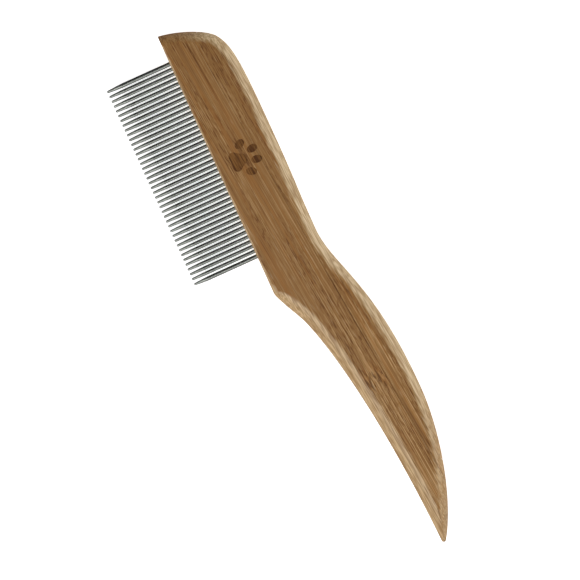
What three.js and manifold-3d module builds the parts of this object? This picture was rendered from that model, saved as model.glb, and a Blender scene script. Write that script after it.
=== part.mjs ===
// Pet grooming comb: a row of straight steel pins set into a flat handle of laminated bamboo.
//
// Millimetres. +X runs along the straight tooth edge, from the nose of the head to the tip of the grip.
// The pins point towards -Y, the back edge is on the +Y side, and +Z points out of the marked face.
// The comb lies on its plain face at z = 0, with the origin under the middle of its outer box.

import * as THREE from "three";
import { mergeVertices } from "three/addons/utils/BufferGeometryUtils.js";
import Module from "manifold-3d";

// ---- Handle: one board, cut to its outline and rounded over ----
const THICKNESS = 10;
const EDGE_RADIUS = 4.5; // round-over of the nose, the back edge and the whole grip
const TOOTH_EDGE_RADIUS = 0.6; // light easing of the edge that holds the pins
const HEAD_WIDTH = 23.8; // tooth edge to back edge

// Landmarks of the outline: x from the start of the tooth edge, y from the tooth edge
const NOSE_CORNER = { x: -0.35, y: 0 };
const NOSE_SHOULDER = { x: 7.9, y: 19.4 }; // where the nose starts to turn into the back edge
const BACK_STRAIGHT = { x: 51.7, y: HEAD_WIDTH };
const WAIST = { x: 86, y: 23.35 };
const CREST = { x: 153.5, y: 34.3 }; // the widest point of the grip
const TIP = { x: 207.05, y: 19.1, radius: 0.85 }; // centre of the rounded tip
const HEEL_START = { x: 101.25, y: 0 }; // end of the tooth edge
const HEEL_END = { x: 111.7, y: 4.55 };
const TIP_UNDERSIDE = -Math.PI / 2 + 0.04; // direction from that centre to where the grip's underside ends
const TIP_UPPERSIDE = Math.PI / 3; // and to where the grip's back edge starts

// ---- Lamination: three plies, each of two strips glued edge to edge along the grain ----
const GLUE_LINE = 0.1;
const CORE_THICKNESS = 4;
const GRAIN_ANGLE = THREE.MathUtils.degToRad(5.5); // the grain climbs towards the back edge along +X
const SEAM_AT_NOSE = { front: 10.6, core: 13.2, back: 8 }; // height of each ply's seam at x = 0

// ---- Pins ----
const PIN_COUNT = 41;
const PIN_PITCH = 1.893;
const FIRST_PIN_X = 10.53;
const PIN_RADIUS = 0.685;
const END_PIN_RADIUS = 0.8; // the first and the last pin of the row are thicker
const PIN_REACH = 24.8; // visible length
const PIN_SHANK = 10.5; // length held in the wood
const PIN_TAPER = 6; // the last stretch narrows
const PIN_TIP_RADIUS = 0.47;
const PIN_SIDES = 12;
const HOLE_CLEARANCE = 0.06; // around the pin, filled with glue
const HOLE_DEPTH = 11;

// ---- Paw print burned into the front face ----
const PAW_CENTRE = { x: 52.4, y: 10.6 };
const PAW_WIDTH = 14;
const PAW_DEPTH = 0.2;

// ---- Fineness of the faceted surfaces ----
const ROUND_OVER_STEPS = 5; // facets across a quarter of the round-over
const RIDGE_SHARE = 0.92; // near the tip the two round-overs stop this far towards their shared ridge
const SMOOTH_TURN = 0.3; // a corner that turns by a larger sine than this is mitred
const BEYOND = 500; // size of the cutting blocks, larger than the handle in every direction

const wasm = await Module();
wasm.setup();

function toSolid(geometry) {
  const bare = geometry.clone();
  bare.deleteAttribute("normal");
  bare.deleteAttribute("uv");
  const merged = mergeVertices(bare, 1e-4);
  return new wasm.Manifold(
    new wasm.Mesh({
      numProp: 3,
      vertProperties: Float32Array.from(merged.attributes.position.array),
      triVerts: Uint32Array.from(merged.index.array),
    }),
  );
}

function toGeometry(solid) {
  const mesh = solid.getMesh();
  const geometry = new THREE.BufferGeometry();
  geometry.setAttribute("position", new THREE.BufferAttribute(mesh.vertProperties, 3));
  geometry.setIndex(new THREE.BufferAttribute(mesh.triVerts, 1));
  geometry.computeVertexNormals();
  return geometry;
}

function joined(solids) {
  return solids.reduce((all, solid) => all.add(solid));
}

// The stretches of the outline, anticlockwise as seen from the front. Each is a curve, the number of
// straight facets it is cut into, and the round-over radius where it starts and where it ends.
function outlineStretches() {
  const stretch = (curve, facets, from = EDGE_RADIUS, to = EDGE_RADIUS) => ({ curve, facets, from, to });
  const v = (x, y) => new THREE.Vector2(x, y);
  const at = (point) => v(point.x, point.y);
  const onTip = (angle) => v(TIP.x + TIP.radius * Math.cos(angle), TIP.y + TIP.radius * Math.sin(angle));
  const cubic = (...points) => new THREE.CubicBezierCurve(...points);
  const toothEdge = new THREE.LineCurve(at(NOSE_CORNER), at(HEEL_START));
  const heel = new THREE.QuadraticBezierCurve(at(HEEL_START), v(102.6, 0), at(HEEL_END));
  const underside = cubic(at(HEEL_END), v(122.9, 10.2), v(159.9, 17), onTip(TIP_UNDERSIDE));
  const tip = new THREE.EllipseCurve(TIP.x, TIP.y, TIP.radius, TIP.radius, TIP_UNDERSIDE, TIP_UPPERSIDE);
  const gripBack = cubic(onTip(TIP_UPPERSIDE), v(195.1, 28.05), v(171.7, CREST.y), at(CREST));
  const intoWaist = cubic(at(CREST), v(111.1, CREST.y), v(100.5, WAIST.y), at(WAIST));
  const headBack = cubic(at(WAIST), v(67.4, WAIST.y), v(70.7, HEAD_WIDTH), at(BACK_STRAIGHT));
  const shoulder = cubic(at(BACK_STRAIGHT), v(19.8, HEAD_WIDTH), v(13.6, 23.4), at(NOSE_SHOULDER));
  const nose = cubic(at(NOSE_SHOULDER), v(3.6, 15.55), v(0.25, 5.55), at(NOSE_CORNER));
  return [
    stretch(toothEdge, 1, TOOTH_EDGE_RADIUS, TOOTH_EDGE_RADIUS),
    stretch(heel, 9, TOOTH_EDGE_RADIUS, EDGE_RADIUS),
    stretch(underside, 24),
    stretch(tip, 6),
    stretch(gripBack, 18),
    stretch(intoWaist, 18),
    stretch(headBack, 6),
    stretch(shoulder, 12),
    stretch(nose, 9),
  ];
}

// The closed outline as short edges, each with its start point, inward normal and round-over radius
function outlineEdges() {
  const points = [];
  const radii = [];
  for (const { curve, facets, from, to } of outlineStretches()) {
    const along = curve.getSpacedPoints(facets);
    for (let i = 0; i < facets; i += 1) {
      points.push(along[i]);
      radii.push(THREE.MathUtils.lerp(from, to, (i + 0.5) / facets));
    }
  }
  return points.map((start, i) => {
    const end = points[(i + 1) % points.length];
    const direction = end.clone().sub(start).normalize();
    return { start, normal: new THREE.Vector2(-direction.y, direction.x), radius: radii[i] };
  });
}

// How far a round-over of the given radius stands in from the outline at a height above mid-thickness
function insetAt(height, radius) {
  const rise = Math.max(0, height - (THICKNESS / 2 - radius));
  return radius - Math.sqrt(Math.max(0, radius * radius - rise * rise));
}

// Height above mid-thickness that a full round-over reaches when it stands in by a distance
function heightAt(inset) {
  const run = EDGE_RADIUS - inset;
  return THICKNESS / 2 - EDGE_RADIUS + Math.sqrt(EDGE_RADIUS * EDGE_RADIUS - run * run);
}

// Radius of the largest circle that touches the outline at a point from inside, between fully rounded edges
function roomAt(point, normal, edges) {
  let room = Infinity;
  for (const other of edges) {
    const across = other.start.clone().sub(point);
    const depth = across.dot(normal);
    if (other.radius === EDGE_RADIUS && depth > 1e-6) {
      room = Math.min(room, across.lengthSq() / (2 * depth));
    }
  }
  return room;
}

// A corner of the outline, moved in to where the round-over reaches a height. Two unlike edges are mitred.
function raisedCorner(before, after, edges, height) {
  const turn = before.normal.x * after.normal.y - before.normal.y * after.normal.x;
  if (Math.abs(turn) > SMOOTH_TURN && before.radius !== after.radius) {
    const a = insetAt(height, before.radius);
    const b = insetAt(height, after.radius);
    const x = after.start.x + (a * after.normal.y - b * before.normal.y) / turn;
    const y = after.start.y + (b * before.normal.x - a * after.normal.x) / turn;
    return new THREE.Vector3(x, y, height);
  }
  const normal = before.normal.clone().add(after.normal).normalize();
  const inset = insetAt(height, (before.radius + after.radius) / 2);
  const limit = RIDGE_SHARE * roomAt(after.start, normal, edges);
  const spot = after.start.clone().addScaledVector(normal, Math.min(inset, limit));
  return new THREE.Vector3(spot.x, spot.y, inset > limit ? heightAt(limit) : height);
}

// The whole handle as one closed surface: rings that follow the outline up both round-overs, and two faces
function handleGeometry() {
  const edges = outlineEdges();
  const count = edges.length;
  const ring = (height) =>
    edges.map((edge, i) => raisedCorner(edges[(i + count - 1) % count], edge, edges, height));
  const upper = [];
  for (let step = 0; step <= ROUND_OVER_STEPS; step += 1) {
    const angle = (step / ROUND_OVER_STEPS) * (Math.PI / 2);
    upper.push(ring(THICKNESS / 2 - EDGE_RADIUS + EDGE_RADIUS * Math.sin(angle)));
  }
  const lower = upper.map((points) => points.map((p) => new THREE.Vector3(p.x, p.y, -p.z))).reverse();
  const rings = [...lower, ...upper];
  const positions = rings.flat().flatMap((p) => [p.x, p.y, p.z + THICKNESS / 2]);
  const index = [];
  for (let r = 0; r + 1 < rings.length; r += 1) {
    for (let i = 0; i < count; i += 1) {
      const a = r * count + i;
      const b = r * count + ((i + 1) % count);
      index.push(a, b, b + count, a, b + count, a + count);
    }
  }
  const top = (rings.length - 1) * count;
  const face = upper[ROUND_OVER_STEPS].map((p) => new THREE.Vector2(p.x, p.y));
  for (const [a, b, c] of THREE.ShapeUtils.triangulateShape(face, [])) {
    index.push(top + a, top + b, top + c);
    index.push(a, c, b);
  }
  const geometry = new THREE.BufferGeometry();
  geometry.setAttribute("position", new THREE.Float32BufferAttribute(positions, 3));
  geometry.setIndex(index);
  return geometry;
}

// A block larger than the handle, from one height to another
function slab(bottom, top) {
  const block = new THREE.BoxGeometry(BEYOND, BEYOND, top - bottom);
  block.translate(0, 0, (bottom + top) / 2);
  return toSolid(block);
}

// All that lies on one side of a seam along the grain: side is -1 towards the pins, 1 towards the back edge
function besideSeam(seamAtNose, side) {
  const block = new THREE.BoxGeometry(2 * BEYOND, BEYOND, BEYOND);
  block.translate(0, side * (BEYOND + GLUE_LINE) / 2, 0);
  block.rotateZ(GRAIN_ANGLE);
  block.translate(0, seamAtNose, 0);
  return toSolid(block);
}

function pinRadius(number) {
  return number === 1 || number === PIN_COUNT ? END_PIN_RADIUS : PIN_RADIUS;
}

// Even spacing, with the two end pins moved outwards so that every gap in the row is the same
function pinX(number) {
  const outwards = (number === 1 ? -1 : 1) * (pinRadius(number) - PIN_RADIUS);
  return FIRST_PIN_X + (number - 1) * PIN_PITCH + outwards;
}

// A round pin along Y: the shank's flat end in the wood, the parallel part, the taper and the rounded tip
function pinGeometry(radius) {
  const tipWaist = PIN_TIP_RADIUS * Math.SQRT1_2;
  const profile = [
    new THREE.Vector2(0, -PIN_REACH),
    new THREE.Vector2(tipWaist, -PIN_REACH + PIN_TIP_RADIUS - tipWaist),
    new THREE.Vector2(PIN_TIP_RADIUS, -PIN_REACH + PIN_TIP_RADIUS),
    new THREE.Vector2(radius, -PIN_REACH + PIN_TAPER),
    new THREE.Vector2(radius, PIN_SHANK),
    new THREE.Vector2(0, PIN_SHANK),
  ];
  return new THREE.LatheGeometry(profile, PIN_SIDES);
}

// The blind holes of the whole row, each a little wider and deeper than its pin's shank
function pinHoles() {
  const mouth = -1;
  const holes = [];
  for (let number = 1; number <= PIN_COUNT; number += 1) {
    const radius = pinRadius(number) + HOLE_CLEARANCE;
    const profile = [
      new THREE.Vector2(0, mouth),
      new THREE.Vector2(radius, mouth),
      new THREE.Vector2(radius, HOLE_DEPTH),
      new THREE.Vector2(0, HOLE_DEPTH),
    ];
    const hole = new THREE.LatheGeometry(profile, PIN_SIDES);
    holes.push(toSolid(hole.translate(pinX(number), 0, THICKNESS / 2)));
  }
  return joined(holes);
}

// The five pads of the paw print, drawn about one unit wide, toes towards +Y
function pawShapes() {
  const toe = (x, y, tilt) => {
    const shape = new THREE.Shape();
    shape.absellipse(x, y, 0.1, 0.145, 0, 2 * Math.PI, false, tilt);
    return shape;
  };
  const palm = new THREE.Shape();
  palm.moveTo(0, 0.06);
  palm.bezierCurveTo(-0.13, 0.06, -0.14, -0.09, -0.22, -0.17);
  palm.bezierCurveTo(-0.31, -0.26, -0.24, -0.4, -0.12, -0.38);
  palm.bezierCurveTo(-0.05, -0.37, 0.05, -0.37, 0.12, -0.38);
  palm.bezierCurveTo(0.24, -0.4, 0.31, -0.26, 0.22, -0.17);
  palm.bezierCurveTo(0.14, -0.09, 0.13, 0.06, 0, 0.06);
  const outerToes = [toe(-0.38, 0.02, 0.45), toe(0.38, 0.02, -0.45)];
  const innerToes = [toe(-0.15, 0.27, 0.12), toe(0.15, 0.27, -0.12)];
  return [...outerToes, ...innerToes, palm];
}

function pawRecess() {
  const options = { depth: 2 * PAW_DEPTH, bevelEnabled: false, curveSegments: 5 };
  const pads = pawShapes().map((shape) => {
    const pad = new THREE.ExtrudeGeometry(shape, options);
    pad.scale(PAW_WIDTH, PAW_WIDTH, 1);
    pad.translate(PAW_CENTRE.x, PAW_CENTRE.y, THICKNESS - PAW_DEPTH);
    return toSolid(pad);
  });
  return joined(pads);
}

const bamboo = (color) => new THREE.MeshStandardMaterial({ color, roughness: 0.5, metalness: 0 });
const steel = () => new THREE.MeshStandardMaterial({ color: 0xb9bab6, roughness: 0.3, metalness: 1 });

function addMesh(group, name, geometry, material) {
  const mesh = new THREE.Mesh(geometry, material);
  mesh.name = name;
  group.add(mesh);
  return mesh;
}

function addHandle(comb) {
  const board = toSolid(handleGeometry());
  const coreBottom = (THICKNESS - CORE_THICKNESS) / 2;
  const coreTop = coreBottom + CORE_THICKNESS;
  const plies = [
    { name: "back", bottom: -BEYOND, top: coreBottom - GLUE_LINE, color: 0xb58c5c },
    { name: "core", bottom: coreBottom, top: coreTop, color: 0xc2a177, cut: pinHoles() },
    { name: "front", bottom: coreTop + GLUE_LINE, top: BEYOND, color: 0x9c7544, cut: pawRecess() },
  ];
  for (const ply of plies) {
    let layer = board.intersect(slab(ply.bottom, ply.top));
    if (ply.cut) {
      layer = layer.subtract(ply.cut);
    }
    const seam = SEAM_AT_NOSE[ply.name];
    const toothStrip = layer.intersect(besideSeam(seam, -1));
    const backStrip = layer.intersect(besideSeam(seam, 1));
    addMesh(comb, `${ply.name}_ply_tooth_strip`, toGeometry(toothStrip), bamboo(ply.color));
    addMesh(comb, `${ply.name}_ply_back_strip`, toGeometry(backStrip), bamboo(ply.color));
  }
}

function addPins(comb) {
  for (let number = 1; number <= PIN_COUNT; number += 1) {
    const geometry = pinGeometry(pinRadius(number));
    const pin = addMesh(comb, `pin_${String(number).padStart(2, "0")}`, geometry, steel());
    pin.position.set(pinX(number), 0, THICKNESS / 2);
  }
}

const comb = new THREE.Group();
addHandle(comb);
addPins(comb);

// Put the origin under the middle of the outer box
const middle = new THREE.Box3().setFromObject(comb).getCenter(new THREE.Vector3());
comb.position.set(-middle.x, -middle.y, 0);

export default comb;
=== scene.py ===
"""Looks of a pet grooming comb: steel pins in a flat handle of laminated bamboo.

The handle is rebuilt as six finely rounded strips, one for each strip of the CAD model, and each pin as a
smooth turned wire. All shapes are drawn in millimetres in the board's own frame: x runs along the tooth
edge from the head's nose, y from the tooth edge to the back, and z from the plain face to the marked face.
The CAD model's boxes place them in the scene.
"""

import math
from collections import namedtuple

import bmesh
import bpy
import numpy as np
from mathutils import Euler, Matrix, Vector
from mathutils.geometry import tessellate_polygon


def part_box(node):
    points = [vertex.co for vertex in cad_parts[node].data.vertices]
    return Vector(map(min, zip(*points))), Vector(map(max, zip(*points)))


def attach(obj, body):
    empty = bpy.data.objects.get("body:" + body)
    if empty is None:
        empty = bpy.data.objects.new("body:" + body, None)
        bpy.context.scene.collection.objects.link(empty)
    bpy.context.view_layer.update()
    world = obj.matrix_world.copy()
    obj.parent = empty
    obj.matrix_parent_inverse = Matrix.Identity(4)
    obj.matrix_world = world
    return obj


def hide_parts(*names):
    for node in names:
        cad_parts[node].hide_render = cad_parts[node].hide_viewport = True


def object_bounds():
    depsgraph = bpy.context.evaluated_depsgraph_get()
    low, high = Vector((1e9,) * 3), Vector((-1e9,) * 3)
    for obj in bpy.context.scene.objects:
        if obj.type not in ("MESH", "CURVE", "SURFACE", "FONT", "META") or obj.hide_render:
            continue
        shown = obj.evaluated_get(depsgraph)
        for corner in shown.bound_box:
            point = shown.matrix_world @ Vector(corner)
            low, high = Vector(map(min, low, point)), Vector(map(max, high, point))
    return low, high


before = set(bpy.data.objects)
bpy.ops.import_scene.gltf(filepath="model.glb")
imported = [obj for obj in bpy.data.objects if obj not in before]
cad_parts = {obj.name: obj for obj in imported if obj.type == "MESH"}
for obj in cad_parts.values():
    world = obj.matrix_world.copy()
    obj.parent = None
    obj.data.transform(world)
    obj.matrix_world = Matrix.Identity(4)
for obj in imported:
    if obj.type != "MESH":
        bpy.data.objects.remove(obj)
CAD_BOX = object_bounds()
MM = 0.001

# ---- The board: landmarks of its outline, anticlockwise from the nose, and its round-overs ----
THICKNESS = 10.0
EDGE_RADIUS = 4.5  # of the round-over nearly all the way round
TOOTH_EDGE_RADIUS = 0.6  # of the eased corners along the pins
HEAD_WIDTH = 23.8
NOSE_CORNER = (-0.35, 0.0)
NOSE_SHOULDER = (7.9, 19.4)
BACK_STRAIGHT = (51.7, HEAD_WIDTH)
WAIST = (86.0, 23.35)
CREST = (153.5, 34.3)
TIP_CENTRE = (207.03, 19.1)
TIP_RADIUS = 0.85
TIP_UNDERSIDE = -math.pi / 2 + 0.04  # directions from the tip's centre to the ends of its arc
TIP_UPPERSIDE = math.pi / 3
EASING_END = (97.5, 0.0)  # past here the tooth edge's rounding grows
HEEL_START = (101.25, 0.0)
HEEL_RADIUS = 1.8  # of the round-over where the heel's bend starts
HEEL_END = (111.7, 4.55)

# ---- Fineness of the board's surface ----
CURVE_SAMPLES = 400  # points that each stretch of the outline is measured with
FEWEST_STEPS = 12  # on a short stretch
OUTLINE_STEP = 0.5
ROUND_OVER_STEPS = 14
RADIUS_GROWTH = 4  # how early a changing round-over reaches its new radius
RIDGE_SHARE = 0.985  # near the tip the two round-overs stop this far towards their shared ridge
NOSE_POINTS = 30  # on each side of the nose corner, the points that a round-over may push past it
CREASE = math.radians(35)
BEYOND = 1.0  # how far cuts reach past the board's faces

# ---- Lamination ----
GLUE_LINE = 0.1
CORE_THICKNESS = 4.0
GRAIN_ANGLE = math.radians(5.5)
SEAM_AT_NOSE = {"front": 10.6, "core": 13.2, "back": 8.0}
# How far along the grain each strip has its bamboo node. The last strip has none within its length.
NODE_PLACES = {
    "back_ply_tooth_strip": 62.0,
    "back_ply_back_strip": 171.0,
    "core_ply_tooth_strip": 118.0,
    "core_ply_back_strip": 31.0,
    "front_ply_tooth_strip": 145.0,
    "front_ply_back_strip": -40.0,
}

# ---- Pins ----
PIN_COUNT = 41
PIN_TAPER = 6.0  # length of the ground taper, tip included
PIN_TAPER_BULGE = 0.35  # 0 for a straight taper, 1 for one as round as a quarter sine
PIN_TAPER_STEPS = 10
PIN_TIP_RADIUS = 0.47
PIN_TIP_STEPS = 5
PIN_INNER_BEVEL = 0.1
PIN_SIDES = 32

# ---- Paw print ----
PAW_CENTRE = (52.4, 10.6)
PAW_WIDTH = 14.0
PAW_DEPTH = 0.2
# The print is drawn about one unit wide. Each toe has its centre's x and y, and its tilt.
TOES = ((-0.38, 0.02, 0.45), (-0.15, 0.27, 0.12), (0.15, 0.27, -0.12), (0.38, 0.02, -0.45))
TOE_RADII = (0.1, 0.145)
TOE_POINTS = 40
PALM_CURVE_POINTS = 12

tooth_strip_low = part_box("core_ply_tooth_strip")[0]
BOARD_ORIGIN = Vector((tooth_strip_low[0] - NOSE_CORNER[0] * MM, tooth_strip_low[1], CAD_BOX[0][2]))


def place(x, y, z):
    """A point of the board's frame, in the scene's metres."""
    return BOARD_ORIGIN + Vector((x, y, z)) * MM


# ------------------------------------------------------------------ outline

def bezier(*controls):
    """A cubic or quadratic curve as a function from 0..1 to points."""
    controls = np.array(controls, float)
    order = len(controls) - 1

    def at(t):
        weights = [math.comb(order, k) * t**k * (1 - t) ** (order - k) for k in range(order + 1)]
        return np.stack(weights, axis=1) @ controls

    return at


def tip_point(angle):
    """A point of the tip's arc, by its direction from the arc's centre."""
    return (TIP_CENTRE[0] + TIP_RADIUS * np.cos(angle), TIP_CENTRE[1] + TIP_RADIUS * np.sin(angle))


def tip_arc(t):
    return np.stack(tip_point(TIP_UNDERSIDE + t * (TIP_UPPERSIDE - TIP_UNDERSIDE)), axis=1)


def stretches():
    """The outline's curves from the nose corner, each with its round-over radius at its two ends."""
    full, eased = EDGE_RADIUS, TOOTH_EDGE_RADIUS
    return [
        (bezier(NOSE_CORNER, EASING_END), eased, eased),
        (bezier(EASING_END, HEEL_START), eased, HEEL_RADIUS),
        (bezier(HEEL_START, (102.6, 0), HEEL_END), HEEL_RADIUS, full),
        (bezier(HEEL_END, (122.9, 10.2), (159.9, 17), tip_point(TIP_UNDERSIDE)), full, full),
        (tip_arc, full, full),
        (bezier(tip_point(TIP_UPPERSIDE), (195.1, 28.05), (171.7, CREST[1]), CREST), full, full),
        (bezier(CREST, (111.1, CREST[1]), (100.5, WAIST[1]), WAIST), full, full),
        (bezier(WAIST, (67.4, WAIST[1]), (70.7, HEAD_WIDTH), BACK_STRAIGHT), full, full),
        (bezier(BACK_STRAIGHT, (19.8, HEAD_WIDTH), (13.6, 23.4), NOSE_SHOULDER), full, full),
        (bezier(NOSE_SHOULDER, (3.6, 15.55), (0.25, 5.55), NOSE_CORNER), full, full),
    ]


def outline():
    """Points, inward normals and round-over radii along the whole outline, about OUTLINE_STEP apart."""
    points, radii = [], []
    for curve, start, end in stretches():
        samples = np.linspace(0, 1, CURVE_SAMPLES)
        travelled = np.cumsum(np.linalg.norm(np.diff(curve(samples), axis=0), axis=1))
        travelled = np.concatenate([[0], travelled])
        steps = max(FEWEST_STEPS, round(travelled[-1] / OUTLINE_STEP))
        marks = np.arange(steps) / steps
        points.append(curve(np.interp(marks * travelled[-1], travelled, samples)))
        radii.append(start + (end - start) * (1 - (1 - marks) ** RADIUS_GROWTH))
    points, radii = np.concatenate(points), np.concatenate(radii)
    tangents = np.roll(points, -1, axis=0) - np.roll(points, 1, axis=0)
    tangents /= np.linalg.norm(tangents, axis=1)[:, None]
    return points, np.stack([-tangents[:, 1], tangents[:, 0]], axis=1), radii


def room_inside(points, normals, radii):
    """Radius of the largest circle that touches the outline at each point from inside."""
    across = points[None] - points[:, None]
    depth = np.einsum("ijk,ik->ij", across, normals)
    usable = (depth > 1e-6) & (radii[None] == EDGE_RADIUS)
    ratio = np.where(usable, (across**2).sum(axis=2) / (2 * np.where(usable, depth, 1)), np.inf)
    return ratio.min(axis=1)


def inset_at(height, radius):
    """How far a round-over stands in at a height above mid-thickness."""
    rise = np.maximum(0, height - (THICKNESS / 2 - radius))
    return radius - np.sqrt(np.maximum(0, radius**2 - rise**2))


def height_at(inset):
    """How far above mid-thickness the full round-over is where it stands in this far."""
    return THICKNESS / 2 - EDGE_RADIUS + np.sqrt(EDGE_RADIUS**2 - (EDGE_RADIUS - inset) ** 2)


def board_rings():
    """Rings of points up the upper half of the board, from mid-thickness to the face.

    At the nose the round-overs of the tooth edge and of the head's end meet in a mitre. Points that their
    insets push past it are drawn back to the mitre.
    """
    points, normals, radii = outline()
    limit = RIDGE_SHARE * room_inside(points, normals, radii)
    nose_direction = points[0] - points[-1]
    nose_direction /= np.linalg.norm(nose_direction)
    nose_normal = np.array([-nose_direction[1], nose_direction[0]])
    places = np.arange(len(points))
    tooth_side = places < NOSE_POINTS
    end_side = places > len(points) - NOSE_POINTS
    rings = []
    for step in range(ROUND_OVER_STEPS + 1):
        rise = EDGE_RADIUS * math.sin(step / ROUND_OVER_STEPS * math.pi / 2)
        height = THICKNESS / 2 - EDGE_RADIUS + rise
        inset = inset_at(height, radii)
        spots = points + normals * np.minimum(inset, limit)[:, None]
        heights = np.where(inset > limit, height_at(np.minimum(limit, EDGE_RADIUS)), height)
        eased = float(inset_at(height, TOOTH_EDGE_RADIUS))
        full = float(inset_at(height, EDGE_RADIUS))
        corner_x = NOSE_CORNER[0] + (full - eased * nose_normal[1]) / nose_normal[0]
        spots[end_side & (spots[:, 1] < eased)] = (corner_x, eased)
        spots[tooth_side & (spots[:, 0] < corner_x)] = (corner_x, eased)
        spots[0] = (corner_x, eased)
        rings.append(np.column_stack([spots, heights]))
    return rings


def board_bmesh():
    """The whole board as one closed surface in the board's millimetres."""
    upper = board_rings()
    lower = [ring * (1, 1, -1) for ring in reversed(upper)]
    rings = lower + upper
    count = len(upper[0])
    bm = bmesh.new()
    verts = [[bm.verts.new((x, y, z + THICKNESS / 2)) for x, y, z in ring] for ring in rings]
    for under, over in zip(verts, verts[1:]):
        for i in range(count):
            j = (i + 1) % count
            bm.faces.new((under[i], under[j], over[j], over[i]))
    flat = [Vector((x, y, 0)) for x, y, z in upper[-1]]
    for triangle in tessellate_polygon([flat]):
        bm.faces.new([verts[-1][k] for k in triangle])
        bm.faces.new([verts[0][k] for k in reversed(triangle)])
    bmesh.ops.remove_doubles(bm, verts=bm.verts, dist=1e-4)
    bmesh.ops.dissolve_degenerate(bm, edges=bm.edges, dist=1e-5)
    bmesh.ops.recalc_face_normals(bm, faces=bm.faces)
    return bm


def keep_side(bm, point, normal):
    """Cuts the solid with a plane, keeps what lies behind it and closes the cut."""
    whole = list(bm.verts) + list(bm.edges) + list(bm.faces)
    cut = bmesh.ops.bisect_plane(bm, geom=whole, plane_co=point, plane_no=normal, clear_outer=True)
    edges = [e for e in cut["geom_cut"] if isinstance(e, bmesh.types.BMEdge)]
    bmesh.ops.edgeloop_fill(bm, edges=edges)


# ------------------------------------------------------------------ objects

def new_object(name, mesh):
    piece = bpy.data.objects.new(name, mesh)
    bpy.context.collection.objects.link(piece)
    return piece


def to_mesh(name, bm):
    """A smooth-shaded mesh of a bmesh drawn in the board's millimetres, placed in the scene."""
    bmesh.ops.transform(bm, matrix=Matrix.Translation(BOARD_ORIGIN) @ Matrix.Scale(MM, 4), verts=bm.verts)
    mesh = bpy.data.meshes.new(name)
    bm.to_mesh(mesh)
    bm.free()
    mesh.shade_smooth()
    mesh.set_sharp_from_angle(angle=CREASE)
    return mesh


def subtract(piece, cutter):
    """Cuts the cutter's shape out of the piece. New faces take the cutter's material."""
    modifier = piece.modifiers.new("cut", "BOOLEAN")
    modifier.operation = "DIFFERENCE"
    modifier.solver = "EXACT"
    modifier.material_mode = "TRANSFER"
    modifier.object = cutter
    graph = bpy.context.evaluated_depsgraph_get()
    result = bpy.data.meshes.new_from_object(piece.evaluated_get(graph), depsgraph=graph)
    piece.modifiers.clear()
    result.set_sharp_from_angle(angle=CREASE)
    piece.data = result
    bpy.data.objects.remove(cutter)


def finish_piece(piece, node):
    """Ties the piece to the comb's one body, in place of a CAD node."""
    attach(piece, "root")
    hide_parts(node)


# ------------------------------------------------------------------ shader nodes

def srgb(red, green, blue):
    """A display colour from 0 to 255 as the linear colour that a socket takes."""
    shares = [channel / 255 for channel in (red, green, blue)]
    linear = [c / 12.92 if c <= 0.04045 else ((c + 0.055) / 1.055) ** 2.4 for c in shares]
    return (*linear, 1.0)


class Shader:
    """The node tree of a material or a world, with short ways to add nodes."""

    def __init__(self, owner, surface="Principled BSDF", seed=0):
        owner.use_nodes = True
        self.tree = owner.node_tree
        self.surface = self.tree.nodes[surface]
        self.seed = seed

    def add(self, kind, inputs, output=0, **settings):
        node = self.tree.nodes.new("ShaderNode" + kind)
        for key, value in settings.items():
            setattr(node, key, value)
        for key, value in inputs.items():
            self.set(node.inputs[key], value)
        return node.outputs[output]

    def set(self, socket, value):
        if isinstance(value, bpy.types.NodeSocket):
            self.tree.links.new(value, socket)
        else:
            socket.default_value = value

    def math(self, operation, a, b=0.0, clamp=False):
        return self.add("Math", {0: a, 1: b}, operation=operation, use_clamp=clamp)

    def total(self, *terms):
        """The sum of (value, weight) pairs."""
        result = 0.0
        for value, weight in terms:
            result = self.add("Math", {0: value, 1: weight, 2: result}, operation="MULTIPLY_ADD")
        return result

    def ramp(self, value, start, end, to_start=0.0, to_end=1.0):
        inputs = {"Value": value, "From Min": start, "From Max": end, "To Min": to_start, "To Max": to_end}
        return self.add("MapRange", inputs, interpolation_type="SMOOTHSTEP")

    def part(self, vector, axis):
        return self.add("SeparateXYZ", {"Vector": vector}, output=axis)

    def mix(self, factor, a, b):
        """A colour between a and b. A Mix node's colours are its inputs 6 and 7 and its output 2."""
        return self.add("Mix", {0: factor, 6: a, 7: b}, output=2, data_type="RGBA")

    def noise(self, at, length, width, shift=0.0, detail=0.0):
        """Smooth noise around zero, with features of a length along X and a width along Y and Z.

        The seed and the shift say which part of the endless noise is seen, so no two layers look alike.
        """
        scale = (1 / length, 1 / width, 1 / width)
        away = (self.seed * 17.3 + shift, self.seed * 5.9 + shift, shift)
        scaled = self.add("Mapping", {"Vector": at, "Scale": scale, "Location": away})
        noise = self.add("TexNoise", {"Vector": scaled, "Scale": 1.0, "Detail": detail})
        return self.math("SUBTRACT", noise, 0.5)

    def contours(self, at, length, width, shift, share):
        """Thin lines, 1 on the line and 0 off it, that wander along X about a width apart."""
        return self.ramp(self.math("ABSOLUTE", self.noise(at, length, width, shift)), 0.0, share, 1.0, 0.0)

    def bump(self, height, strength, depth):
        """Roughens the surface. Depth is in millimetres."""
        inputs = {"Height": height, "Strength": strength, "Distance": depth * MM}
        self.set(self.surface.inputs["Normal"], self.add("Bump", inputs))


# ------------------------------------------------------------------ bamboo

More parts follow.
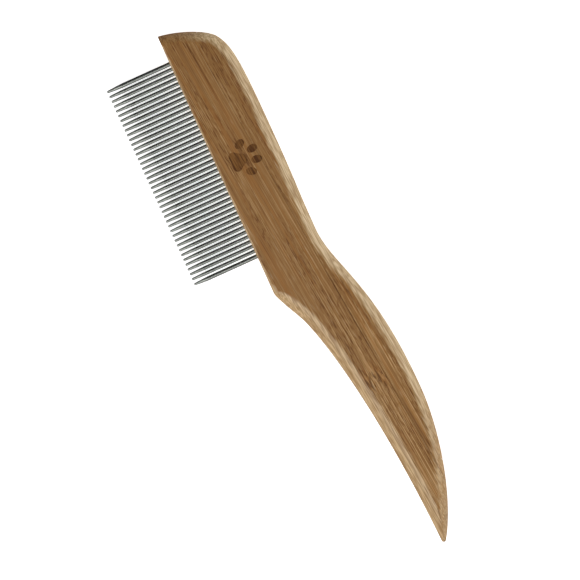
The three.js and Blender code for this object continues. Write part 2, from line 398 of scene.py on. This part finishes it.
FACE_DARK = srgb(110, 70, 32)
FACE_MID = srgb(153, 110, 62)
FACE_LIGHT = srgb(206, 166, 114)
RED_STREAK = srgb(164, 108, 50)
FLECK = srgb(84, 50, 22)
# The round-overs' colours are paler than the faces, partly as sanded wood and partly as painted sheen and
# side light. The back side's colours are greyer as painted sheen.
SHEEN_EDGE_DARK = srgb(172, 140, 98)
SHEEN_EDGE_LIGHT = srgb(228, 204, 164)
WARM_EDGE_DARK = srgb(168, 130, 84)
WARM_EDGE_LIGHT = srgb(228, 196, 150)
END_DARK = srgb(122, 84, 46)
END_LIGHT = srgb(178, 134, 82)
BURNED_DARK = srgb(88, 52, 20)
BURNED_LIGHT = srgb(140, 96, 48)


def grain_coordinates(s):
    """Millimetres along the grain, across it and up, from the start of the tooth edge."""
    start = Matrix.Rotation(-GRAIN_ANGLE, 3, "Z") @ BOARD_ORIGIN / MM
    inputs = {
        "Vector": s.add("TexCoord", {}, output="Object"),
        "Scale": (1 / MM,) * 3,
        "Rotation": (0, 0, -GRAIN_ANGLE),
        "Location": -start,
    }
    return s.add("Mapping", inputs)


# How far the surface leans from the flat faces, and how far to the teeth and to the back, each from 0 to 1,
# then how squarely a leaning surface cuts the fibres' ends.
Tilts = namedtuple("Tilts", "lean to_teeth to_back end")


def surface_tilts(s):
    normal = s.add("NewGeometry", {}, output="Normal")
    up = s.part(normal, "Z")
    lean = s.math("SQRT", s.math("SUBTRACT", 1.0, s.math("MULTIPLY", up, up), clamp=True))
    to_back = s.part(normal, "Y")
    to_teeth = s.math("MULTIPLY", to_back, -1.0)
    along = (math.cos(GRAIN_ANGLE), math.sin(GRAIN_ANGLE), 0)
    along_grain = s.add("VectorMath", {0: normal, 1: along}, "Value", operation="DOT_PRODUCT")
    end = s.math("DIVIDE", s.math("ABSOLUTE", along_grain), s.math("MAXIMUM", lean, 0.05))
    return Tilts(lean, s.math("MAXIMUM", to_teeth, 0.0), s.math("MAXIMUM", to_back, 0.0), end)


def figured_tone(s, grain):
    """Tone of the flat faces, about 0 to 1: bands, thin dark lines and pores, strongest in the grip, with
    painted light that makes the faces lighter towards the grip.
    """
    figure_and_grip_light = s.ramp(s.part(grain, "X"), 90, 150, 0.6, 1.0)
    bands = s.total(
        (s.noise(grain, 90, 4.2), 0.36),
        (s.noise(grain, 80, 1.4, 3.1), 0.1),
        (s.noise(grain, 50, 0.55, 7.7), 0.17),
        (s.noise(grain, 20, 0.26, 11.9), 1.0),
    )
    patches = s.ramp(s.noise(grain, 30, 4, 19.1), -0.12, 0.12, 0.2, 1.0)
    fine_lines = s.math("MULTIPLY", s.contours(grain, 60, 0.8, 67.1, 0.08), patches)
    pores = s.math("MULTIPLY", s.ramp(s.noise(grain, 2.6, 0.3, 15.3), 0.05, 0.16), patches)
    lines = s.total((s.contours(grain, 150, 2.2, 63.3, 0.05), 0.15), (fine_lines, 0.18), (pores, 0.26))
    # Painted light: the faces get lighter towards the grip.
    return s.total((bands, figure_and_grip_light), (lines, -1.0), (figure_and_grip_light, 0.14), (1.0, 0.48))


def add_bamboo_node(s, grain, colour, place_along):
    """A bamboo node: an uneven patch of short dark, reddish and pale flecks across the strip."""
    along = s.math("SUBTRACT", s.part(grain, "X"), place_along)
    waver = s.math("MULTIPLY", s.noise(grain, 60, 3.2, 23.5), 10)
    distance = s.math("ABSOLUTE", s.math("ADD", along, waver))
    near = s.ramp(distance, 1.0, 11.0, 1.0, 0.0)
    reddish = s.math("MULTIPLY", near, s.ramp(s.noise(grain, 7, 0.8, 41.3), -0.05, 0.15))
    colour = s.mix(s.math("MULTIPLY", reddish, 0.5), colour, RED_STREAK)
    grit = s.noise(grain, 3.6, 0.6, 51.7, 3)
    pale = s.math("MULTIPLY", near, s.ramp(grit, -0.16, -0.03, 1.0, 0.0))
    colour = s.mix(s.math("MULTIPLY", pale, 0.35), colour, FACE_LIGHT)
    dark = s.math("MULTIPLY", near, s.ramp(grit, 0.0, 0.12))
    return s.mix(s.math("MULTIPLY", dark, 0.72), colour, FLECK)


def sanding_and_sheen_mask(s, grain, tone, speckle, tilts):
    """Where the round-overs are painted paler, partly as sanded wood and partly as painted sheen and side
    light: ragged along the fibres, wider on the tooth side, fainter past the crest.
    """
    splinters = s.total((s.noise(grain, 9, 0.8, 5.5), 0.22), (speckle, 0.3), (tone, 0.1))
    splinters = s.math("MULTIPLY", splinters, s.ramp(tilts.end, 0.3, 0.9, 1.0, 0.3))
    ragged = s.total((tilts.lean, 1.0), (tilts.to_teeth, 0.8), (splinters, 1.0))
    past_crest = s.ramp(s.part(grain, "X"), 145, 185)
    faint = s.math("MULTIPLY", past_crest, s.ramp(tilts.to_back, 0.0, 0.3))
    strength = s.math("SUBTRACT", 0.92, s.math("MULTIPLY", faint, 0.45))
    return s.math("MULTIPLY", s.ramp(ragged, 0.08, 0.54), strength)


def face_colour(s, grain, tone, place_along):
    """Colour of the flat faces: the figured tone, long reddish streaks and the strip's bamboo node."""
    colour = s.mix(s.ramp(tone, 0.1, 0.5), FACE_DARK, FACE_MID)
    colour = s.mix(s.ramp(tone, 0.5, 0.95), colour, FACE_LIGHT)
    colour = s.mix(s.ramp(s.noise(grain, 70, 1.2, 12.3), 0.06, 0.2, 0, 0.4), colour, RED_STREAK)
    return add_bamboo_node(s, grain, colour, place_along)


def sanded_and_sheen_colour(s, grain, speckle, tilts):
    """Colour of the round-overs, paler partly as sanded wood and partly as painted sheen: pale streaks,
    warmer on the tooth side and brown where fibres end.
    """
    streaks = s.total(
        (speckle, 0.8),
        (s.noise(grain, 30, 1.1, 43.1), 0.5),
        (s.noise(grain, 24, 0.4, 45.7), 0.6),
        (s.contours(grain, 40, 0.8, 31.7, 0.12), -0.16),
    )
    pattern = s.ramp(streaks, -0.4, 0.3)
    # Painted sheen: the back side's round-over is greyer and paler than the tooth side's.
    back_side = s.mix(pattern, SHEEN_EDGE_DARK, SHEEN_EDGE_LIGHT)
    tooth_side = s.mix(pattern, WARM_EDGE_DARK, WARM_EDGE_LIGHT)
    colour = s.mix(s.ramp(tilts.to_teeth, 0.0, 0.2), back_side, tooth_side)
    return s.mix(s.ramp(tilts.end, 0.75, 0.97), colour, s.mix(pattern, END_DARK, END_LIGHT))


def bamboo(name, seed, place_along):
    """Laminated bamboo: straight fibres, bands of tone, paler round-overs that are partly sanded wood and
    partly painted sheen, and a thin satin lacquer.
    """
    material = bpy.data.materials.new(name)
    s = Shader(material, seed=seed)
    grain = grain_coordinates(s)
    tilts = surface_tilts(s)
    tone = figured_tone(s, grain)
    speckle = s.noise(grain, 4, 0.36, 9.1)
    # The round-overs' paler colour is partly sanded wood and partly painted sheen and side light.
    edge = sanding_and_sheen_mask(s, grain, tone, speckle, tilts)
    colour = s.mix(edge, face_colour(s, grain, tone, place_along), sanded_and_sheen_colour(s, grain, speckle, tilts))
    s.set(s.surface.inputs["Base Color"], colour)
    s.set(s.surface.inputs["Roughness"], s.ramp(speckle, -0.3, 0.3, 0.36, 0.5))
    s.surface.inputs["Specular IOR Level"].default_value = 0.25
    s.surface.inputs["Coat Weight"].default_value = 0.25
    s.surface.inputs["Coat Roughness"].default_value = 0.18
    s.bump(s.total((speckle, 1.0), (tone, 0.5)), 0.4, 0.05)
    return material


def burned_bamboo():
    """The scorched floor of the paw print, with the fibres still showing."""
    material = bpy.data.materials.new("burned_bamboo")
    s = Shader(material)
    grain = grain_coordinates(s)
    fibres = s.total(
        (s.noise(grain, 14, 0.5), 0.8),
        (s.noise(grain, 3, 0.35, 4.4), 0.6),
        (s.contours(grain, 50, 1.2, 6.1, 0.06), -0.3),
    )
    s.set(s.surface.inputs["Base Color"], s.mix(s.ramp(fibres, -0.35, 0.25), BURNED_DARK, BURNED_LIGHT))
    s.surface.inputs["Roughness"].default_value = 0.65
    s.surface.inputs["Specular IOR Level"].default_value = 0.2
    s.bump(fibres, 0.6, 0.1)
    return material


def toe_outline(x, y, tilt):
    angle = np.linspace(0, 2 * math.pi, TOE_POINTS, endpoint=False)
    a, b = TOE_RADII[0] * np.cos(angle), TOE_RADII[1] * np.sin(angle)
    across = x + a * math.cos(tilt) - b * math.sin(tilt)
    up = y + a * math.sin(tilt) + b * math.cos(tilt)
    return np.stack([across, up], axis=1)


def palm_outline():
    curves = (
        bezier((0, 0.06), (-0.13, 0.06), (-0.14, -0.09), (-0.22, -0.17)),
        bezier((-0.22, -0.17), (-0.31, -0.26), (-0.24, -0.4), (-0.12, -0.38)),
        bezier((-0.12, -0.38), (-0.05, -0.37), (0.05, -0.37), (0.12, -0.38)),
        bezier((0.12, -0.38), (0.24, -0.4), (0.31, -0.26), (0.22, -0.17)),
        bezier((0.22, -0.17), (0.14, -0.09), (0.13, 0.06), (0, 0.06)),
    )
    steps = np.arange(PALM_CURVE_POINTS) / PALM_CURVE_POINTS
    return np.concatenate([curve(steps) for curve in curves])


def paw_cutter(material):
    """The paw print's pads as solids that reach from the print's floor out through the front face."""
    bm = bmesh.new()
    for pad in [toe_outline(*toe) for toe in TOES] + [palm_outline()]:
        spots = pad * PAW_WIDTH + np.array(PAW_CENTRE)
        face = bm.faces.new([bm.verts.new((x, y, THICKNESS - PAW_DEPTH)) for x, y in spots])
        lifted = bmesh.ops.extrude_face_region(bm, geom=[face])
        for v in lifted["geom"]:
            if isinstance(v, bmesh.types.BMVert):
                v.co.z += 2 * PAW_DEPTH
    bmesh.ops.recalc_face_normals(bm, faces=bm.faces)
    cutter = new_object("paw_cutter", to_mesh("paw_cutter", bm))
    cutter.data.materials.append(material)
    return cutter


# ------------------------------------------------------------------ pins

STEEL_DARK = srgb(170, 174, 167)
STEEL_LIGHT = srgb(186, 190, 183)


def turned(profile, sides, x, z):
    """A solid turned about a line along Y: profile is (radius, y) from end to end, on the axis at both."""
    bm = bmesh.new()
    angles = [2 * math.pi * k / sides for k in range(sides)]
    rings = []
    for radius, y in profile:
        if radius == 0:
            rings.append([bm.verts.new((x, y, z))])
        else:
            spots = [(x + radius * math.cos(a), y, z + radius * math.sin(a)) for a in angles]
            rings.append([bm.verts.new(spot) for spot in spots])
    for one, two in zip(rings, rings[1:]):
        for k in range(sides):
            under = [one[k % len(one)], one[(k + 1) % len(one)]]
            over = [two[(k + 1) % len(two)], two[k % len(two)]]
            bm.faces.new(list(dict.fromkeys(under + over)))
    bmesh.ops.recalc_face_normals(bm, faces=bm.faces)
    return bm


def pin_profile(radius, reach, shank):
    """A drawn wire: a rounded tip, a slightly convex taper, the parallel part and a bevelled inner end."""
    profile = [(0, -reach)]
    for step in range(1, PIN_TIP_STEPS + 1):
        angle = step / PIN_TIP_STEPS * math.pi / 2
        profile.append((PIN_TIP_RADIUS * math.sin(angle), -reach + PIN_TIP_RADIUS * (1 - math.cos(angle))))
    for step in range(1, PIN_TAPER_STEPS + 1):
        t = step / PIN_TAPER_STEPS
        widening = PIN_TAPER_BULGE * math.sin(t * math.pi / 2) + (1 - PIN_TAPER_BULGE) * t
        width = PIN_TIP_RADIUS + (radius - PIN_TIP_RADIUS) * widening
        profile.append((width, -reach + PIN_TIP_RADIUS + t * (PIN_TAPER - PIN_TIP_RADIUS)))
    profile += [(radius, -reach / 2), (radius, 0), (radius, shank - PIN_INNER_BEVEL)]
    profile += [(radius - PIN_INNER_BEVEL, shank), (0, shank)]
    return profile


def steel():
    """Drawn stainless wire: fine lines along the pin, faint blotches of polish and a duller taper."""
    material = bpy.data.materials.new("steel")
    s = Shader(material)
    where = s.add("TexCoord", {}, output="Object")
    quarter_turn = (0, 0, math.pi / 2)
    along_pin = s.add("Mapping", {"Vector": where, "Scale": (1 / MM,) * 3, "Rotation": quarter_turn})
    lines = s.noise(along_pin, 8, 0.12, 0, 1)
    blotch = s.noise(along_pin, 6, 3, 8.8, 1)
    s.set(s.surface.inputs["Base Color"], s.mix(s.ramp(blotch, -0.2, 0.2), STEEL_DARK, STEEL_LIGHT))
    s.surface.inputs["Metallic"].default_value = 1.0
    taper_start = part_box("pin_01")[0][1] + PIN_TAPER * MM
    ground = s.ramp(s.part(where, "Y"), taper_start - 4 * MM, taper_start, 0.25, 0)
    s.set(s.surface.inputs["Roughness"], s.math("ADD", s.ramp(lines, -0.3, 0.3, 0.22, 0.28), ground))
    s.bump(lines, 0.1, 0.01)
    return material


# ------------------------------------------------------------------ build

def strip_bmesh(board, ply, bottom, top, side):
    """One strip of one ply: side is 1 for the strip by the teeth and -1 for the one by the back."""
    across = Vector((-math.sin(GRAIN_ANGLE), math.cos(GRAIN_ANGLE), 0))
    seam = Vector((0, SEAM_AT_NOSE[ply], 0)) - across * side * GLUE_LINE / 2
    bm = board.copy()
    keep_side(bm, (0, 0, top), (0, 0, 1))
    keep_side(bm, (0, 0, bottom), (0, 0, -1))
    keep_side(bm, seam, across * side)
    return bm


def build_handle():
    """Three plies of two strips each, from the plain face up."""
    core_bottom = (THICKNESS - CORE_THICKNESS) / 2
    core_top = core_bottom + CORE_THICKNESS
    plies = {
        "back": (-BEYOND, core_bottom - GLUE_LINE),
        "core": (core_bottom, core_top),
        "front": (core_top + GLUE_LINE, THICKNESS + BEYOND),
    }
    board = board_bmesh()
    burned = burned_bamboo()
    for seed, (node, place_along) in enumerate(NODE_PLACES.items(), start=1):
        ply, strip = node.split("_")[0], node.split("_")[2]
        bm = strip_bmesh(board, ply, *plies[ply], 1 if strip == "tooth" else -1)
        name = f"bamboo_{ply}_{strip}_strip"
        piece = new_object(name, to_mesh(name, bm))
        piece.data.materials.append(bamboo(f"{name}_wood", seed, place_along))
        if ply == "front":
            piece.data.materials.append(burned)
            subtract(piece, paw_cutter(burned))
        finish_piece(piece, node)
    board.free()


def build_pins():
    """One pin for each CAD pin, which gives its thickness, place, reach and shank."""
    material = steel()
    for number in range(1, PIN_COUNT + 1):
        node = f"pin_{number:02d}"
        low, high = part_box(node)
        middle = (np.array(low) + np.array(high)) / 2
        radius = (high[2] - low[2]) / 2 / MM
        x = (middle[0] - BOARD_ORIGIN.x) / MM
        z = (middle[2] - BOARD_ORIGIN.z) / MM
        reach = (BOARD_ORIGIN.y - low[1]) / MM
        shank = (high[1] - BOARD_ORIGIN.y) / MM
        bm = turned(pin_profile(radius, reach, shank), PIN_SIDES, x, z)
        name = f"steel_pin_{number:02d}"
        piece = new_object(name, to_mesh(name, bm))
        piece.data.materials.append(material)
        finish_piece(piece, node)


# ------------------------------------------------------------------ studio

VIEW_TURN = math.radians(65.61)  # the tooth edge runs down to the right, this far below level
VIEW_WIDTH = 208.63 * MM
CAMERA_DISTANCE = 3.0
AIM = place(102.37, 5.79, 7.5)  # the middle of the view
FLOOR_SIZE = 3.0
FLOOR_GAP = 0.5 * MM


def build_camera():
    """A camera straight above the comb, far enough away to see it almost without perspective."""
    data = bpy.data.cameras.new("camera")
    data.sensor_width = 36.0
    data.lens = data.sensor_width * CAMERA_DISTANCE / VIEW_WIDTH
    data.clip_end = 20.0
    camera = bpy.data.objects.new("camera", data)
    camera.location = AIM + Vector((0, 0, CAMERA_DISTANCE))
    camera.rotation_euler = Euler((0, 0, VIEW_TURN))
    bpy.context.collection.objects.link(camera)
    bpy.context.scene.camera = camera


def softbox(name, direction, distance, width, height, radiance, mirrored=True):
    """A rectangular light facing the comb: direction is the way to it, radiance its brightness."""
    data = bpy.data.lights.new(name, "AREA")
    data.shape = "RECTANGLE"
    data.size, data.size_y = width, height
    data.energy = radiance * math.pi * width * height
    light = bpy.data.objects.new(name, data)
    way = Vector(direction).normalized()
    light.location = way * distance
    light.rotation_euler = way.to_track_quat("Z", "Y").to_euler()
    light.visible_camera = False
    light.visible_glossy = mirrored
    bpy.context.collection.objects.link(light)


def build_surround():
    """A grey world, darker towards the comb's nose, which the pins' flanks on that side mirror."""
    scene = bpy.context.scene
    scene.view_settings.view_transform = "Standard"
    scene.world = bpy.data.worlds.new("studio")
    w = Shader(scene.world, "Background")
    way = w.add("TexCoord", {}, output="Generated")
    tip_side = w.ramp(w.part(way, "X"), -0.4, 0.8, 0.055, 0.27)
    above = w.ramp(w.part(way, "Z"), -0.1, 0.4, 0.2, 1.0)
    w.set(w.surface.inputs["Strength"], w.math("MULTIPLY", tip_side, above))
    w.surface.inputs["Color"].default_value = (1, 1, 1, 1)


def build_lights():
    """Soft boxes: the strong low one on the back side brings out the pale round-over there."""
    softbox("back_side", (0, 1, 0.27), 0.9, 0.7, 0.45, 3.1, mirrored=False)
    softbox("back_sheen", (0, 1, 0.5), 0.9, 0.7, 0.3, 2.2)
    softbox("pin_side", (0.35, -1, 1.5), 0.8, 0.8, 0.6, 2.6)
    softbox("grip_end", (1, 0, 0.4), 0.9, 0.6, 0.35, 0.6)
    softbox("overhead", (0.5, 0, 1), 1.4, 0.5, 0.5, 0.8)


def paper():
    """White paper that glows, so that the floor is an even white out to its edges."""
    material = bpy.data.materials.new("floor_paper")
    s = Shader(material)
    where = s.add("TexCoord", {}, output="Object")
    speck = s.ramp(s.noise(where, 0.02, 0.02), -0.3, 0.3)
    s.set(s.surface.inputs["Base Color"], s.mix(speck, (0.86, 0.86, 0.86, 1), (0.88, 0.88, 0.88, 1)))
    s.surface.inputs["Roughness"].default_value = 0.9
    s.surface.inputs["Emission Color"].default_value = (1, 1, 1, 1)
    s.surface.inputs["Emission Strength"].default_value = 0.85
    return material


def build_floor():
    """A plain white floor, which the pins don't mirror: they show the darker surround instead."""
    bm = bmesh.new()
    bmesh.ops.create_grid(bm, x_segments=1, y_segments=1, size=FLOOR_SIZE)
    mesh = bpy.data.meshes.new("floor")
    bm.to_mesh(mesh)
    bm.free()
    mesh.materials.append(paper())
    floor = new_object("floor", mesh)
    floor.location.z = CAD_BOX[0][2] - FLOOR_GAP
    floor.visible_glossy = False


build_camera()
build_surround()
build_lights()
build_floor()
build_handle()
build_pins()

bpy.context.view_layer.update()
